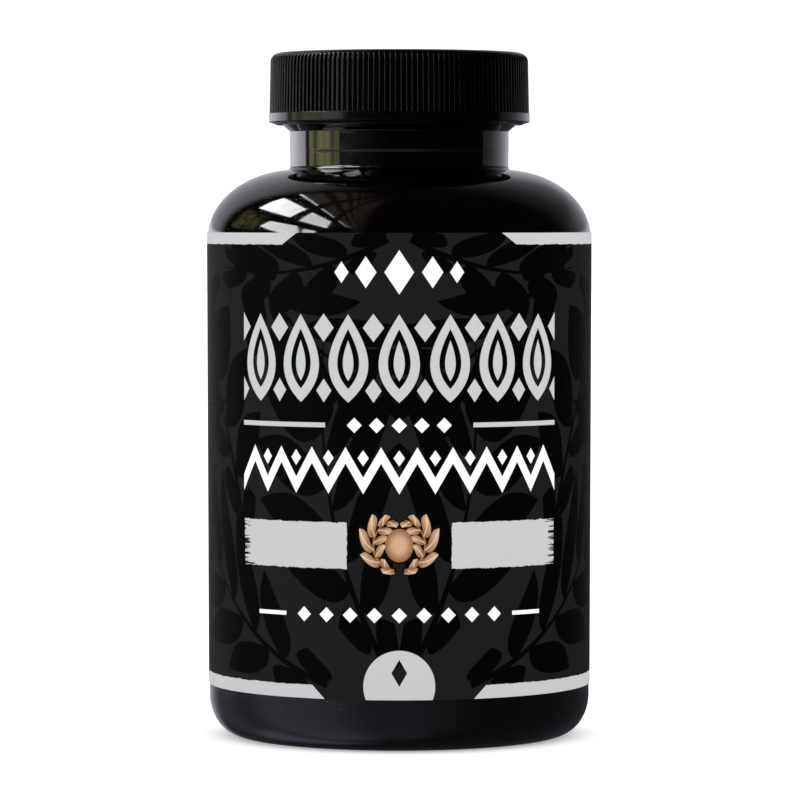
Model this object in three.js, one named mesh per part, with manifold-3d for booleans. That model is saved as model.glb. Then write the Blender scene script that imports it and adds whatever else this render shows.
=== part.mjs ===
// A round bottle for capsules with a ribbed screw cap, its sealing liner, a wrap label and its fill.
// Millimetres, +Z up. The origin is the middle of the base, on the surface that the bottle stands on.
// The front of the label faces -Y and its seam is at +Y.
import * as THREE from "three";
import { mergeVertices } from "three/addons/utils/BufferGeometryUtils.js";
import Module from "manifold-3d";

// Bottle: body
const BODY_RADIUS = 35.08; // straight panel, at its top
const BODY_DRAFT = 0.25; // the panel's radius shrinks by this down to the heel
const WALL = 1.0;
const HEEL_HEIGHT = 7.5;
const HEEL_REACH = 6.0; // how far the heel's curve comes in from the panel
const HEEL_THICKENING = 0.35; // the heel's wall is this much thicker than the panel's
const STAND_WIDTH = 1.6; // flat ring that the bottle stands on
const PUSH_UP_RADIUS = 23.5;
const PUSH_UP_HEIGHT = 1.8;
const PUSH_UP_DISH = 0.3; // the recess under the base is this much lower at its edge
const FLOOR = 1.2; // thickness of the base
// Bottle: shoulder and neck
const SHOULDER_START = 91.2;
const SHOULDER_REACH = 16.3; // the shoulder is a quarter of an ellipse: this wide
const SHOULDER_RISE = 12.4; // and this high
const SHOULDER_WALL = 1.1;
const SHOULDER_SWEEP = 0.84; // share of the quarter that is left before the fillet
const SHOULDER_INNER_SWEEP = 0.92;
const NECK_RADIUS = 20.05;
const NECK_FILLET = 2.2;
const NECK_FILLET_SWEEP = 0.85; // share of a quarter turn
const NECK_LINE_Z = 107.4; // fine raised mould line round the neck
const NECK_LINE_HEIGHT = 0.12;
const NECK_LINE_HALF = 0.25;
const BEAD_RADIUS = 21.6;
const BEAD_TOP = 111.15;
const BEAD_BOTTOM = 110.5;
const BEAD_ROUND = 0.3;
const BEAD_SWEEP = 0.8; // quarter turns above and below its widest point
const BEAD_FOOT = 0.25; // the neck widens by this just under the bead
// Bottle: threaded finish
const RIM_Z = 121.9;
const BORE_RADIUS = 18.6;
const FINISH_RADIUS = 20.6; // wall between the turns of the thread
const RIM_CHAMFER = 0.4;
const THREAD_PITCH = 25.4 / 6; // six turns to the inch
const THREAD_RADIUS = 21.8;
const THREAD_ROOT = 2.0; // width of the ridge at its foot
const THREAD_CREST = 0.9;
const THREAD_TURNS = 1.25;
const THREAD_LOW_Z = 114.7; // middle of the ridge at its lower end
const THREAD_SINK = 0.4; // depth of a ridge's foot inside its wall
const RUN_OUT = 0.35; // radians over which a thread's end rises out of the wall
const END_HEIGHT = 0.15; // share of a ridge's height that is left at its two ends, inside the wall
// Cap, in heights above its own lower edge
const CAP_Z = 111.4; // height of that edge when the cap is screwed down
const CAP_HEIGHT = 13.5;
const CAP_RADIUS = 23.9; // plain band
const CAP_EDGE_ROUND = 1.2; // how far the rounded lower edge comes in
const CAP_EDGE_RISE = 1.8; // and how far up it goes
const CAP_TOP_ROUND = 1.7;
const RIB_START = 2.45;
const RIB_RADIUS_LOW = 23.78; // inside the flats of the band
const RIB_RADIUS_HIGH = 23.6;
const RIB_DEPTH = 0.42;
const RIBS = 150;
const CAP_BORE = 22.15;
const CAP_DEPTH = 12.0; // of the hollow
const CAP_LEAD_IN = 0.4; // chamfer at the mouth of the cap
const CAP_THREAD_RADIUS = 21.05;
const CAP_THREAD_ROOT = 1.6;
const CAP_THREAD_CREST = 0.8;
const CAP_THREAD_TURNS = 1.3;
const THREAD_GAP = 0.35; // between the flanks that pull the cap down
// Liner
const LINER_RADIUS = 21.8;
const LINER_THICKNESS = 0.9;
const REST_GAP = 0.3; // left between pieces that rest on each other
// Label
const LABEL_Z = 9.6;
const LABEL_HEIGHT = 82.3;
const LABEL_THICKNESS = 0.12;
const LABEL_GLUE = 0.05; // layer of glue under it
const LABEL_SEAM = 6; // degrees left bare at the back
// Capsules, size 00
const CAPSULE_RADIUS = 4.265;
const CAPSULE_LENGTH = 23.3;
const CAPSULE_SIDES = 6;
const CAPSULE_LAYERS = 8;
const LAYER_PITCH = 7.9;
const CAPSULE_RINGS = [
  { radius: 28.6, count: 8 },
  { radius: 19.2, count: 5 },
  { radius: 9.4, count: 2 },
];
const RING_WANDER = 0.8; // the most that a capsule lies inside its ring
const CAPSULE_TILT = 0.15; // radians, the most that one leans
const CAPSULE_SEED = 11;
const CORE_RADIUS = 29;
const CORE_SIDES = 16;
const CORE_DROP = 4.5; // the core ends this far below the middle of the top layer

const SEGMENTS = 48; // sides of every round piece, in step with each other
const OVERREACH = 1; // how far a cutter passes what it cuts, or a joined solid enters its neighbour

const wasm = await Module();
wasm.setup();

// Merges a closed geometry's vertices and gives it as a solid.
function solidOf(geometry) {
  const bare = geometry.clone();
  bare.deleteAttribute("normal");
  bare.deleteAttribute("uv");
  const merged = mergeVertices(bare, 1e-4);
  const vertProperties = merged.attributes.position.array;
  const triVerts = new Uint32Array(merged.index.array);
  return new wasm.Manifold(new wasm.Mesh({ numProp: 3, vertProperties, triVerts }));
}

function geometryOf(solid) {
  const { vertProperties, triVerts } = solid.getMesh();
  const geometry = new THREE.BufferGeometry();
  geometry.setAttribute("position", new THREE.BufferAttribute(vertProperties, 3));
  geometry.setIndex(new THREE.BufferAttribute(triVerts, 1));
  geometry.computeVertexNormals();
  return geometry;
}

// Turns an outline of [radius, height] pairs round the Z axis. It runs up the outside.
function turned(outline, sides = SEGMENTS) {
  const points = outline.map(([radius, height]) => new THREE.Vector2(radius, height));
  return new THREE.LatheGeometry(points, sides).rotateX(Math.PI / 2);
}

// Points of an ellipse's arc as [radius, height] pairs; angles in quarter turns from +radius.
function arc(centreRadius, centreZ, reach, rise, from, to, steps) {
  const points = [];
  for (let i = 0; i <= steps; i++) {
    const angle = (from + ((to - from) * i) / steps) * (Math.PI / 2);
    points.push([centreRadius + reach * Math.cos(angle), centreZ + rise * Math.sin(angle)]);
  }
  return points;
}

// Radius of the bottle's outside on the drafted panel.
function panelRadius(z) {
  return BODY_RADIUS - (BODY_DRAFT * (SHOULDER_START - z)) / (SHOULDER_START - HEEL_HEIGHT);
}

// A ridge of trapezoid section wound round the axis as a right-handed screw, from its foot inside
// the wall to its crest. It starts at +X, and both its ends fade into the wall.
function thread(footRadius, crestRadius, footWidth, crestWidth, lowZ, turns) {
  const section = new THREE.Shape();
  section.moveTo(footRadius, -footWidth / 2);
  section.lineTo(crestRadius, -crestWidth / 2);
  section.lineTo(crestRadius, crestWidth / 2);
  section.lineTo(footRadius, footWidth / 2);
  section.closePath();
  const sweep = turns * 2 * Math.PI;
  const steps = Math.round(turns * SEGMENTS);
  const ridge = new THREE.ExtrudeGeometry(section, { depth: sweep, steps, bevelEnabled: false });
  const position = ridge.attributes.position;
  for (let i = 0; i < position.count; i++) {
    const along = position.getZ(i);
    const risen = Math.min(1, Math.min(along, sweep - along) / RUN_OUT);
    const share = END_HEIGHT + (1 - END_HEIGHT) * risen;
    const radius = footRadius + (position.getX(i) - footRadius) * share;
    const z = lowZ + position.getY(i) + (THREAD_PITCH * along) / (2 * Math.PI);
    position.setXYZ(i, radius * Math.cos(along), radius * Math.sin(along), z);
  }
  return solidOf(facesReversed(ridge));
}

// Swaps two corners of every triangle, because bending an extrusion round the axis mirrors it.
function facesReversed(geometry) {
  const position = geometry.attributes.position;
  const first = new THREE.Vector3();
  const second = new THREE.Vector3();
  for (let i = 0; i < position.count; i += 3) {
    first.fromBufferAttribute(position, i);
    second.fromBufferAttribute(position, i + 1);
    position.setXYZ(i, ...second);
    position.setXYZ(i + 1, ...first);
  }
  return geometry;
}

function bottleSolid() {
  const standOuter = panelRadius(HEEL_HEIGHT) - HEEL_REACH;
  const shoulderCentre = BODY_RADIUS - SHOULDER_REACH;
  const filletRadius = NECK_RADIUS + NECK_FILLET;
  const filletZ = SHOULDER_START + SHOULDER_RISE + NECK_FILLET;
  const beadZ = (BEAD_BOTTOM + BEAD_TOP) / 2;
  const beadRise = (BEAD_TOP - BEAD_BOTTOM) / 2;
  const innerReach = SHOULDER_REACH - WALL;
  const innerRise = SHOULDER_RISE - SHOULDER_WALL;
  const innerHeelZ = HEEL_HEIGHT + HEEL_THICKENING;
  const innerHeelReach = HEEL_REACH - WALL + HEEL_THICKENING;
  const outside = [
    [0, PUSH_UP_HEIGHT],
    [PUSH_UP_RADIUS, PUSH_UP_HEIGHT - PUSH_UP_DISH],
    [standOuter - STAND_WIDTH, 0],
    ...arc(standOuter, HEEL_HEIGHT, HEEL_REACH, HEEL_HEIGHT, -1, 0, 5),
    ...arc(shoulderCentre, SHOULDER_START, SHOULDER_REACH, SHOULDER_RISE, 0, SHOULDER_SWEEP, 8),
    ...arc(filletRadius, filletZ, -NECK_FILLET, -NECK_FILLET, NECK_FILLET_SWEEP, 0, 3),
    [NECK_RADIUS, NECK_LINE_Z - NECK_LINE_HALF],
    [NECK_RADIUS + NECK_LINE_HEIGHT, NECK_LINE_Z],
    [NECK_RADIUS, NECK_LINE_Z + NECK_LINE_HALF],
    [NECK_RADIUS + BEAD_FOOT, BEAD_BOTTOM],
    ...arc(BEAD_RADIUS - BEAD_ROUND, beadZ, BEAD_ROUND, beadRise, -BEAD_SWEEP, BEAD_SWEEP, 2),
    [FINISH_RADIUS, BEAD_TOP],
    [FINISH_RADIUS, RIM_Z - RIM_CHAMFER],
    [FINISH_RADIUS - RIM_CHAMFER, RIM_Z],
  ];
  const inside = [
    [BORE_RADIUS + RIM_CHAMFER / 2, RIM_Z],
    [BORE_RADIUS, RIM_Z - RIM_CHAMFER / 2],
    [BORE_RADIUS, filletZ - SHOULDER_WALL],
    ...arc(shoulderCentre, SHOULDER_START, innerReach, innerRise, SHOULDER_INNER_SWEEP, 0, 5),
    ...arc(standOuter - HEEL_THICKENING, innerHeelZ, innerHeelReach, innerHeelZ - FLOOR, 0, -1, 3),
    [PUSH_UP_RADIUS, PUSH_UP_HEIGHT - PUSH_UP_DISH + FLOOR],
    [0, PUSH_UP_HEIGHT + FLOOR],
  ];
  const foot = FINISH_RADIUS - THREAD_SINK;
  const ridge = thread(
    foot,
    THREAD_RADIUS,
    THREAD_ROOT,
    THREAD_CREST,
    THREAD_LOW_Z,
    THREAD_TURNS,
  );
  return solidOf(turned([...outside, ...inside])).add(ridge);
}

// The cap's ribbed upper part: every other vertex round it is drawn in to the bottom of a groove.
function ribbedBlank() {
  const flatRadius = RIB_RADIUS_HIGH - CAP_TOP_ROUND;
  const roundZ = CAP_HEIGHT - CAP_TOP_ROUND;
  const blank = turned(
    [
      [0, RIB_START - OVERREACH],
      [RIB_RADIUS_LOW, RIB_START - OVERREACH],
      ...arc(flatRadius, roundZ, CAP_TOP_ROUND, CAP_TOP_ROUND, 0, 1, 3),
      [0, CAP_HEIGHT],
    ],
    2 * RIBS,
  );
  const position = blank.attributes.position;
  for (let i = 0; i < position.count; i++) {
    const radius = Math.hypot(position.getX(i), position.getY(i));
    const angle = Math.atan2(position.getY(i), position.getX(i));
    const isGroove = Math.round((angle / Math.PI) * RIBS) % 2 !== 0;
    if (!isGroove || radius < flatRadius + RIB_DEPTH / 2) continue;
    const scale = (radius - RIB_DEPTH) / radius;
    position.setX(i, position.getX(i) * scale);
    position.setY(i, position.getY(i) * scale);
  }
  return solidOf(blank);
}

function capSolid() {
  const roundRadius = CAP_RADIUS - CAP_EDGE_ROUND;
  const band = turned([
    [0, 0],
    ...arc(roundRadius, CAP_EDGE_RISE, CAP_EDGE_ROUND, CAP_EDGE_RISE, -1, 0, 4),
    [CAP_RADIUS, RIB_START],
    [0, RIB_START],
  ]);
  const hollow = turned([
    [0, -OVERREACH],
    [CAP_BORE + CAP_LEAD_IN, -OVERREACH],
    [CAP_BORE + CAP_LEAD_IN, 0],
    [CAP_BORE, CAP_LEAD_IN],
    [CAP_BORE, CAP_DEPTH],
    [0, CAP_DEPTH],
  ]);
  // The cap's ridge lies one gap under the bottle's, flank to flank.
  const halfWidths = (bottleThreadWidth(CAP_THREAD_RADIUS) + CAP_THREAD_CREST) / 2;
  const ridge = thread(
    CAP_BORE + THREAD_SINK,
    CAP_THREAD_RADIUS,
    CAP_THREAD_ROOT,
    CAP_THREAD_CREST,
    THREAD_LOW_Z - halfWidths - THREAD_GAP - CAP_Z,
    CAP_THREAD_TURNS,
  );
  return solidOf(band).add(ribbedBlank()).subtract(solidOf(hollow)).add(ridge);
}

// Width of the bottle's ridge at a radius.
function bottleThreadWidth(radius) {
  const foot = FINISH_RADIUS - THREAD_SINK;
  const share = (radius - foot) / (THREAD_RADIUS - foot);
  return THREAD_ROOT + (THREAD_CREST - THREAD_ROOT) * share;
}

function linerSolid() {
  const disc = new THREE.CylinderGeometry(
    LINER_RADIUS,
    LINER_RADIUS,
    LINER_THICKNESS,
    SEGMENTS,
  );
  return solidOf(disc.rotateX(Math.PI / 2).translate(0, 0, LINER_THICKNESS / 2));
}

// The label stops short of a whole turn at the back. Its sides are in step with the bottle's.
function labelSolid() {
  const low = panelRadius(LABEL_Z) + LABEL_GLUE;
  const high = panelRadius(LABEL_Z + LABEL_HEIGHT) + LABEL_GLUE;
  const ring = turned([
    [low, 0],
    [low + LABEL_THICKNESS, 0],
    [high + LABEL_THICKNESS, LABEL_HEIGHT],
    [high, LABEL_HEIGHT],
    [low, 0],
  ]);
  const seamWidth = 2 * BODY_RADIUS * Math.sin(THREE.MathUtils.degToRad(LABEL_SEAM / 2));
  const slot = new THREE.BoxGeometry(seamWidth, BODY_RADIUS, 2 * LABEL_HEIGHT);
  return solidOf(ring).subtract(solidOf(slot.translate(0, BODY_RADIUS, 0)));
}

// Seeded random numbers from 0 to 1 (mulberry32).
function randomSource(seed) {
  let state = seed;
  return () => {
    state = (state + 0x6d2b79f5) | 0;
    let t = Math.imul(state ^ (state >>> 15), 1 | state);
    t = (t + Math.imul(t ^ (t >>> 7), 61 | t)) ^ t;
    return ((t ^ (t >>> 14)) >>> 0) / 4294967296;
  };
}

// One capsule, lying along a unit direction about its middle.
function capsule(middle, direction) {
  const straight = CAPSULE_LENGTH / 2 - CAPSULE_RADIUS;
  const body = turned(
    [
      ...arc(0, -straight, CAPSULE_RADIUS, CAPSULE_RADIUS, -1, 0, 2),
      ...arc(0, straight, CAPSULE_RADIUS, CAPSULE_RADIUS, 0, 1, 2),
    ],
    CAPSULE_SIDES,
  );
  const turn = new THREE.Quaternion().setFromUnitVectors(new THREE.Vector3(0, 0, 1), direction);
  body.applyQuaternion(turn).translate(middle.x, middle.y, middle.z);
  return solidOf(body);
}

// The fill: layers of capsules lying round the bottle in rings, each leaning by a random angle, on
// a core that takes the place of what lies behind them. They are fused into one body.
function capsulesSolid() {
  const random = randomSource(CAPSULE_SEED);
  const lowest = CAPSULE_RADIUS + (CAPSULE_LENGTH / 2) * Math.sin(CAPSULE_TILT);
  const coreTop = lowest + (CAPSULE_LAYERS - 1) * LAYER_PITCH - CORE_DROP;
  const core = turned(
    [
      [0, 0],
      [CORE_RADIUS, 0],
      [CORE_RADIUS, coreTop],
      [0, coreTop],
    ],
    CORE_SIDES,
  );
  let fused = solidOf(core);
  for (let layer = 0; layer < CAPSULE_LAYERS; layer++) {
    for (const ring of CAPSULE_RINGS) {
      for (let k = 0; k < ring.count; k++) {
        const around = ((k + 0.5 * layer + 0.2 * random()) * 2 * Math.PI) / ring.count;
        const radius = ring.radius - RING_WANDER * random();
        const lean = CAPSULE_TILT * (2 * random() - 1);
        const x = radius * Math.cos(around);
        const y = radius * Math.sin(around);
        const middle = new THREE.Vector3(x, y, lowest + layer * LAYER_PITCH);
        const direction = new THREE.Vector3(-y / radius, x / radius, Math.tan(lean));
        fused = fused.add(capsule(middle, direction.normalize()));
      }
    }
  }
  return fused.decompose().reduce((a, b) => (b.volume() > a.volume() ? b : a));
}

// A named mesh of a solid, standing at a height in its group.
function meshOf(name, solid, z, color, roughness) {
  const material = new THREE.MeshStandardMaterial({ color, roughness, metalness: 0 });
  const mesh = new THREE.Mesh(geometryOf(solid), material);
  mesh.name = name;
  mesh.position.z = z;
  return mesh;
}

const closure = new THREE.Group();
closure.position.z = CAP_Z;
closure.add(
  meshOf("liner", linerSolid(), RIM_Z + REST_GAP - CAP_Z, 0xe9e6de, 0.85),
  meshOf("cap", capSolid(), 0, 0x0c0c0d, 0.42),
);

const group = new THREE.Group();
group.add(
  meshOf("bottle", bottleSolid(), 0, 0x0d0a0a, 0.12),
  meshOf("label", labelSolid(), LABEL_Z, 0x1e1e1e, 0.5),
  meshOf("capsules", capsulesSolid(), PUSH_UP_HEIGHT + FLOOR + REST_GAP, 0xb48a5a, 0.3),
  closure,
);

export default group;
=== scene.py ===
"""A capsule bottle with a ribbed screw cap: its surfaces, finishes, light and camera."""
import math

import bpy
import numpy as np
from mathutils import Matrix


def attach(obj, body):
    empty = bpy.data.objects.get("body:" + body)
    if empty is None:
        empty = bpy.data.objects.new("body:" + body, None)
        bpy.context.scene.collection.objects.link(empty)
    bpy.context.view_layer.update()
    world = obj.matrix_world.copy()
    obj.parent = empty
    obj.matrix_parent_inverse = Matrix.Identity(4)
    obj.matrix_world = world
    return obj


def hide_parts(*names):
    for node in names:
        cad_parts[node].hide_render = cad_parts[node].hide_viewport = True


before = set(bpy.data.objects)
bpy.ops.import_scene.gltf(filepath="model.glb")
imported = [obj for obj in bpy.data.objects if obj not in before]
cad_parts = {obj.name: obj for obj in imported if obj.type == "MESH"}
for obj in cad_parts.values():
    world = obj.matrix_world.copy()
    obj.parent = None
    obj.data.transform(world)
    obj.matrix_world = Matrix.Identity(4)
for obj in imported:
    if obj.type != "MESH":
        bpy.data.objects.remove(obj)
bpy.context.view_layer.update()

bl_info = {
    "name": "Capsule bottle",
    "version": (1, 0, 0),
    "blender": (4, 5, 0),
    "location": "3D View > Sidebar > Bottle",
    "description": "Builds a capsule bottle with its screw cap, liner, wrap label and fill",
    "category": "Add Mesh",
}

MM = 0.001
PRINT_UNIT = 0.1  # metres of label to one unit of the print's own map

# Small shapes that go with the sizes in the panel, in metres. A sweep is in quarter turns.
STAND_WIDTH = 1.6 * MM
PUSH_UP_RADIUS = 23.5 * MM
PUSH_UP_HEIGHT = 1.8 * MM
PUSH_UP_DISH = 0.3 * MM
FLOOR_THICKNESS = 1.2 * MM
HEEL_THICKENING = 0.35 * MM
SHOULDER_WALL = 1.1 * MM
SHOULDER_SWEEP = 0.929
SHOULDER_INNER_SWEEP = 0.92
NECK_FILLET = 0.65 * MM
NECK_FILLET_SWEEP = 0.945
NECK_FILLET_RISE = 0.566 * MM
NECK_STEP = 0.05 * MM  # how far the neck steps out at its mould line
NECK_LINE_HALF = 0.4 * MM
BEAD_FOOT = 0.25 * MM
RIM_ROUND = 0.4 * MM
THREAD_PITCH = 25.4 / 6 * MM
THREAD_SINK = 0.4 * MM
RUN_OUT = 0.35  # radians over which a thread's end rises out of the wall
END_HEIGHT = 0.15
RIB_FADE = (0.50, 0.82)  # shares of the cap's top round between which the ribs begin
RIB_CREST = 0.38 * MM  # radius of a rib's rounded crest
RIB_COLUMNS = (0.0, 0.125 * MM, 0.235 * MM, 0.3 * MM)  # half a rib: crest, its end and foot
CAP_THREAD_ROOT = 1.6 * MM
CAP_THREAD_CREST = 0.8 * MM
THREAD_GAP = 0.35 * MM
REST_GAP = 0.3 * MM
BAND_FINISH = (23.8 * MM, 23.88 * MM)  # radii between which the cap's finish gets glossier
LEDGE = 0.03 * MM  # blunting of the ledge between ribs and band
EDGE_TURN = (0.3 * MM, 0.2 * MM)  # rounding between the band and the lower edge
SHELL_STEP = 0.16 * MM  # how far a capsule's tinted half stands out over the other
WREATH_Z = 37.0  # of the label's print, in millimetres above the base
WREATH_RADIUS = 4.6
EDGE_SOFTNESS = 0.06  # millimetres over which the edge of printed ink fades

# How finely the pieces are divided
TURNED_COLUMNS = 256  # of the bottle
LINER_COLUMNS = 160
THREAD_STEPS = 320  # along a whole thread
LABEL_STEPS = 289  # round the panel
CAPSULE_SIDES = 12
CAPSULE_BODY_RINGS = 5  # those of the clear half, before the tinted one
TILE_COLUMNS = 12  # capsules side by side on their sheet

# The stage, in metres
ROOM_RADIUS = 6.0
ROOM_RINGS, ROOM_COLUMNS = 26, 48
FLOOR_RADIUS = 5.0
FLOOR_SIDES = 96
FLOOR_DROP = 0.00002  # keeps the floor clear of the flat under the bottle


# ------------------------- sizes and colours
def number(name, description, default, kind=bpy.props.FloatProperty, **more):
    """A plain number, or another kind of property with its limits and unit."""
    return kind(name=name, description=description, default=default, **more)


def length(name, description, default):
    """A length in metres, shown in the scene's own unit."""
    return number(name, description, default * MM, min=0.0, precision=5, subtype="DISTANCE",
                  unit="LENGTH")


def angle(name, description, default):
    """An angle in radians, shown in the scene's own unit."""
    return number(name, description, default, subtype="ANGLE", unit="ROTATION")


def count(name, description, default, least):
    """A whole number."""
    return number(name, description, default, bpy.props.IntProperty, min=least)


def colour(name, description, default):
    """A linear RGB colour."""
    return number(name, description, default, bpy.props.FloatVectorProperty, size=3, min=0.0,
                  max=1.0, subtype="COLOR")


class BottleSizes(bpy.types.PropertyGroup):
    radius: length("Body radius", "Radius of the panel at its top", 35.08)
    draft: length("Draft", "How much the panel narrows down to the heel", 0.25)
    wall: length("Wall", "Thickness of the panel's wall", 1.0)
    heel_height: length("Heel height", "Height of the rounded heel", 7.5)
    heel_reach: length("Heel reach", "How far the heel comes in", 6.0)
    shoulder_start: length("Shoulder start", "Height where the shoulder leaves the panel", 91.2)
    shoulder_reach: length("Shoulder reach", "Width of the shoulder's ellipse", 16.3)
    shoulder_rise: length("Shoulder rise", "Height of the shoulder's ellipse", 12.4)
    neck_radius: length("Neck radius", "Radius of the neck", 20.05)
    neck_line: length("Mould line", "Height of the fine line round the neck", 106.85)
    bead_radius: length("Bead radius", "Radius of the bead under the cap", 21.4)
    bead_low: length("Bead bottom", "Height where the bead leaves the neck", 110.7)
    bead_high: length("Bead top", "Height of the bead's upper edge", 112.0)
    finish_radius: length("Finish radius", "Radius between the turns of the thread", 20.6)
    bore_radius: length("Bore radius", "Radius of the opening", 18.6)
    rim: length("Rim height", "Height of the rim", 121.9)
    thread_radius: length("Thread radius", "Radius of the thread's crest", 21.8)
    thread_root: length("Thread root", "Width of the thread's ridge at its foot", 2.0)
    thread_crest: length("Thread crest", "Width of the thread's crest", 0.9)
    thread_low: length("Thread start", "Height of the thread's lower end", 114.7)
    thread_turns: number("Thread turns", "Turns of the bottle's thread", 1.25, min=0.5)


class CapSizes(bpy.types.PropertyGroup):
    low: length("Lower edge", "Height of the cap's lower edge when screwed down", 111.75)
    height: length("Height", "Height of the cap", 13.15)
    radius: length("Band radius", "Radius of the plain band", 23.9)
    edge_reach: length("Edge reach", "How far the lower edge slopes in", 1.2)
    edge_rise: length("Edge rise", "Height of the sloping lower edge", 0.6)
    top_round: length("Top round", "Radius of the upper edge", 1.7)
    rib_start: length("Rib start", "Height of the band, below the ribs", 2.1)
    rib_low: length("Rib radius, low", "Radius over the ribs at the band", 23.78)
    rib_high: length("Rib radius, high", "Radius over the ribs at the top", 23.6)
    rib_depth: length("Rib depth", "Depth of the grooves between the ribs", 0.42)
    ribs: count("Ribs", "Number of ribs round the cap", 150, 12)
    bore: length("Bore", "Inside radius", 22.15)
    depth: length("Depth", "Depth of the hollow", 11.65)
    thread_radius: length("Thread radius", "Inside radius over the cap's thread", 21.05)
    thread_turns: number("Thread turns", "Turns of the cap's thread", 1.3, min=0.5)
    liner_radius: length("Liner radius", "Radius of the sealing liner", 21.8)
    liner_thickness: length("Liner thickness", "Thickness of the sealing liner", 0.9)


class LabelSizes(bpy.types.PropertyGroup):
    low: length("Lower edge", "Height of the label's lower edge", 9.6)
    height: length("Height", "Height of the label", 82.55)
    thickness: length("Thickness", "Thickness of the film", 0.12)
    glue: length("Glue", "Thickness of the glue under it", 0.05)
    seam: angle("Seam", "Angle left bare at the back", math.radians(6.0))


class FillSizes(bpy.types.PropertyGroup):
    radius: length("Capsule radius", "Radius of a capsule", 4.265)
    length: length("Capsule length", "Length of a capsule", 23.3)
    layers: count("Layers", "Layers of capsules", 8, 1)
    pitch: length("Layer pitch", "Height from layer to layer", 7.9)
    wander: length("Wander", "The most that a capsule lies inside its ring", 0.8)
    lean: angle("Lean", "The most that a capsule leans", 0.15)
    seed: count("Seed", "Seed of the fill", 11, 0)


class Colours(bpy.types.PropertyGroup):
    bottle: colour("Bottle", "Moulded bottle", (0.0005, 0.0003, 0.0003))
    cap: colour("Cap", "Moulded cap", (0.0005, 0.0005, 0.0004))
    ground: colour("Label ground", "Charcoal ground of the label", (0.0103, 0.0103, 0.0103))
    foliage: colour("Label foliage", "Near-black leaves on the ground", (0.0009, 0.0014, 0.0012))
    silver: colour("Label silver", "Light grey ink", (0.50, 0.51, 0.515))
    white: colour("Label white", "White ink", (0.88, 0.88, 0.88))
    tan: colour("Label tan", "Light tan of the leaf wreath", (0.62, 0.40, 0.25))
    brown: colour("Label brown", "Brown of the leaf wreath", (0.25, 0.115, 0.05))
    liner: colour("Liner", "Pulp board of the liner", (0.74, 0.71, 0.64))
    shell_light: colour("Capsule body", "Clear half of a capsule, over its powder",
                        (0.46, 0.29, 0.14))
    shell_dark: colour("Capsule cap", "Tinted half of a capsule", (0.28, 0.15, 0.07))


class StageSettings(bpy.types.PropertyGroup):
    camera_distance: length("Camera distance", "From the bottle's axis", 862.0)
    camera_height: length("Camera height", "Above the base", 95.1)
    camera_side: length("Camera side", "To the right of the axis", 0.13)
    camera_pitch: angle("Camera pitch", "How far the camera looks down", math.radians(2.243))
    lens: number("Lens", "Focal length in millimetres on a 36 mm sensor", 211.4)
    daylight: number("Daylight", "Strength of the even light from all round", 1.2)


class BottleProject(bpy.types.PropertyGroup):
    bottle: bpy.props.PointerProperty(type=BottleSizes)
    cap: bpy.props.PointerProperty(type=CapSizes)
    label: bpy.props.PointerProperty(type=LabelSizes)
    fill: bpy.props.PointerProperty(type=FillSizes)
    colours: bpy.props.PointerProperty(type=Colours)
    stage: bpy.props.PointerProperty(type=StageSettings)


# ------------------------- surfaces
def arc(centre, reach, start, end, steps):
    """Centre + (reach_r cos a, reach_z sin a), with a from start to end in quarter turns."""
    a = np.linspace(start, end, steps) * math.pi / 2
    return np.column_stack((centre[0] + reach[0] * np.cos(a), centre[1] + reach[1] * np.sin(a)))


def line(first, last, steps):
    """Points from first to last, without last, closer together towards both ends."""
    t = 0.5 - 0.5 * np.cos(np.arange(steps)[:, None] / steps * math.pi)
    return np.asarray(first) * (1 - t) + np.asarray(last) * t


def revolved(profile, columns):
    """Ring i is a circle of radius profile[i, 0] at height profile[i, 1]."""
    a = np.arange(columns) * 2 * math.pi / columns
    radius, z = profile[:, :1], profile[:, 1:]
    return np.stack((radius * np.cos(a), radius * np.sin(a), z + 0 * a), -1)


def corners_on_sheet(*corners):
    """The (across, along) pairs of all faces' corners. A single number holds for all of them."""
    return np.stack([np.stack(np.broadcast_arrays(*c), -1) for c in corners], -2)


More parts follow.
